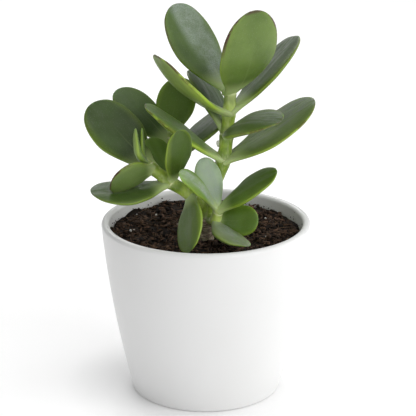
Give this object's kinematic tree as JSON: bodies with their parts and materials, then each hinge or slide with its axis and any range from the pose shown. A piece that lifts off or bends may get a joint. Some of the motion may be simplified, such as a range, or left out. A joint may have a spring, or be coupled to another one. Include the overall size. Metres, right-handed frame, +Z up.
{
  "type": "potted jade plant",
  "caption": "Young jade plant with thick oval leaves on a short branching stem, growing in soil in a round tapered white pot.",
  "frame": {"origin": "centre of the pot's flat base, on the surface that the pot stands on", "axes": "+Z up the pot's axis, -Y towards the front, where the front shoot and the drooping leaf are, and +X to the right seen from the front"},
  "size_m": [0.1493, 0.1396, 0.2694],
  "materials": {
    "glaze": "satin white glaze",
    "soil": "dark damp potting mix, crumbly",
    "stem": "smooth green stem, brown and corky at its foot",
    "leaf": "smooth waxy leaf"
  },
  "bodies": {
    "root": {"pot": "glaze", "soil": "soil", "stem": "stem", "leaf_crown_back": "leaf", "leaf_crown_front": "leaf", "leaf_third_right": "leaf", "leaf_third_left": "leaf", "leaf_second_back": "leaf", "leaf_second_front": "leaf", "leaf_first_right": "leaf", "leaf_first_left": "leaf", "leaf_fork_front": "leaf", "leaf_fork_back": "leaf", "leaf_fork_low": "leaf", "leaf_outer_back": "leaf", "leaf_outer_front": "leaf", "leaf_tip_outer": "leaf", "leaf_tip_inner": "leaf", "leaf_drooping": "leaf", "leaf_rear_right": "leaf", "leaf_rear_left": "leaf", "leaf_rear_back": "leaf", "leaf_shoot_back": "leaf", "leaf_shoot_left": "leaf", "leaf_shoot_right": "leaf", "leaf_shoot_low_right": "leaf", "leaf_shoot_low_front": "leaf"}
  },
  "joints": []
}
